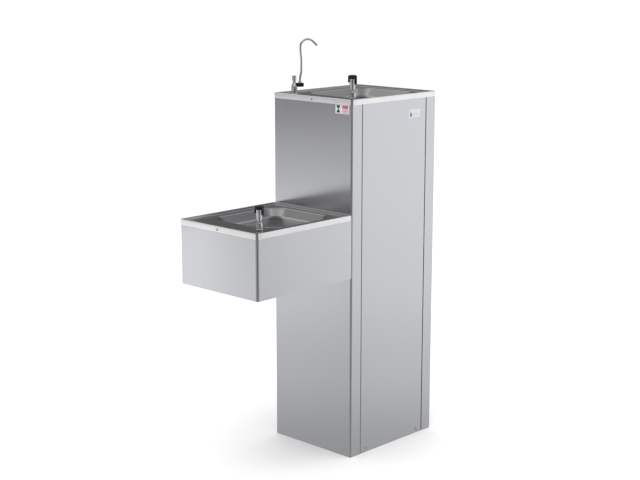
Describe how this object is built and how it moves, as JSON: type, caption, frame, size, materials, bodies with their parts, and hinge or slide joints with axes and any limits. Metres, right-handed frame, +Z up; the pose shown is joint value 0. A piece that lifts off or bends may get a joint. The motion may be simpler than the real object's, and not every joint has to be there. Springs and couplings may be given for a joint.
{
  "type": "drinking fountain",
  "caption": "Floor-standing steel drinking fountain: chilled column with a bowl, bubbler and swan-neck filler, and a lower side box with its own bowl and bubbler.",
  "frame": {"origin": "centre of the column's footprint, on the floor", "axes": "+Z up; -Y is the front with the service panel, +Y the wall side; -X towards the low box"},
  "size_m": [0.7058, 0.2987, 1.1498],
  "materials": {
    "stainless_brushed": "satin",
    "stainless_satin": "satin",
    "steel_screw": "satin",
    "galvanised_steel": "satin",
    "chrome": "polished",
    "black_plastic": "gloss",
    "spring_steel": "satin",
    "black_rubber": "matte",
    "brass": "satin",
    "copper": "satin",
    "grey_pipe": "matte",
    "white_plastic": "satin",
    "black_enamel": "satin",
    "aluminium": "satin",
    "foam": "matte",
    "label_film": "gloss"
  },
  "bodies": {
    "fountain": {"base_tray": "galvanised_steel", "chiller_shelf": "galvanised_steel", "cold_tank": "stainless_satin", "column_backing_plate": "galvanised_steel", "compressor": "black_enamel", "compressor_grommets": "black_rubber", "condenser_fins": "aluminium", "condenser_tube": "copper", "deck_screws": "steel_screw", "drain_strainers": "stainless_satin", "evaporator_coil": "copper", "fan_motor": "black_enamel", "fan_shroud": "galvanised_steel", "filler_body": "chrome", "filler_collar": "chrome", "filter_drier": "copper", "front_panel": "stainless_brushed", "front_panel_screws": "steel_screw", "low_box_bolts": "steel_screw", "low_box_end_plate": "galvanised_steel", "low_box_floor": "galvanised_steel", "low_box_floor_screws": "steel_screw", "low_box_shell": "stainless_brushed", "low_bubbler_body": "chrome", "low_deck": "stainless_satin", "low_waste_pipe": "grey_pipe", "panel_label": "label_film", "pictogram_label": "label_film", "power_inlet": "black_plastic", "refrigerant_lines": "copper", "relay_box": "black_plastic", "service_recess": "galvanised_steel", "supply_manifold": "brass", "supply_tubes": "white_plastic", "tank_insulation": "foam", "tap_gaskets": "black_rubber", "tap_locknuts": "brass", "thermostat": "white_plastic", "upper_bubbler_body": "chrome", "upper_deck": "stainless_satin", "upper_waste_pipe": "grey_pipe", "waste_fittings": "grey_pipe", "waste_nuts": "grey_pipe", "waste_tee": "grey_pipe", "waste_trap": "grey_pipe", "water_inlet": "brass", "wrap_casing": "stainless_brushed"},
    "upper_bubbler_button": {"upper_bubbler_cap": "black_plastic", "upper_bubbler_stem": "spring_steel", "upper_bubbler_spring": "spring_steel"},
    "low_bubbler_button": {"low_bubbler_cap": "black_plastic", "low_bubbler_stem": "spring_steel", "low_bubbler_spring": "spring_steel"},
    "filler_button": {"filler_knob": "chrome", "filler_stem": "spring_steel", "filler_spring": "spring_steel"},
    "swan_neck": {"filler_spout": "chrome"},
    "fan": {"fan_blade": "black_plastic"},
    "thermostat_knob": {"thermostat_dial": "black_plastic"},
    "mains_rocker": {"power_switch": "black_plastic"}
  },
  "joints": [
    {"name": "upper_bubbler_press", "type": "slide", "parent": "fountain", "child": "upper_bubbler_button", "axis": [0, 0, -1], "range_m": [0, 0.004], "stiffness_N_per_m": 600, "springref_m": -0.008, "deforming": ["upper_bubbler_spring"]},
    {"name": "low_bubbler_press", "type": "slide", "parent": "fountain", "child": "low_bubbler_button", "axis": [0, 0, -1], "range_m": [0, 0.004], "stiffness_N_per_m": 600, "springref_m": -0.008, "deforming": ["low_bubbler_spring"]},
    {"name": "filler_press", "type": "slide", "parent": "fountain", "child": "filler_button", "axis": [0, 0, -1], "range_m": [0, 0.004], "stiffness_N_per_m": 600, "springref_m": -0.008, "deforming": ["filler_spring"]},
    {"name": "spout_swivel", "type": "hinge", "parent": "fountain", "child": "swan_neck", "pos_m": [-0.12373, 0.09655, 1.021], "axis": [0, 0, 1], "range_deg": [-60, 60]},
    {"name": "fan_spin", "type": "hinge", "parent": "fountain", "child": "fan", "pos_m": [0.045, 0.082, 0.115], "axis": [0, 1, 0], "continuous": true},
    {"name": "thermostat_turn", "type": "hinge", "parent": "fountain", "child": "thermostat_knob", "pos_m": [-0.12, -0.112, 0.261], "axis": [0, -1, 0], "range_deg": [0, 270]},
    {"name": "mains_rock", "type": "hinge", "parent": "fountain", "child": "mains_rocker", "pos_m": [0.09, 0.1425, 0.301], "axis": [1, 0, 0], "range_deg": [0, 16]}
  ]
}
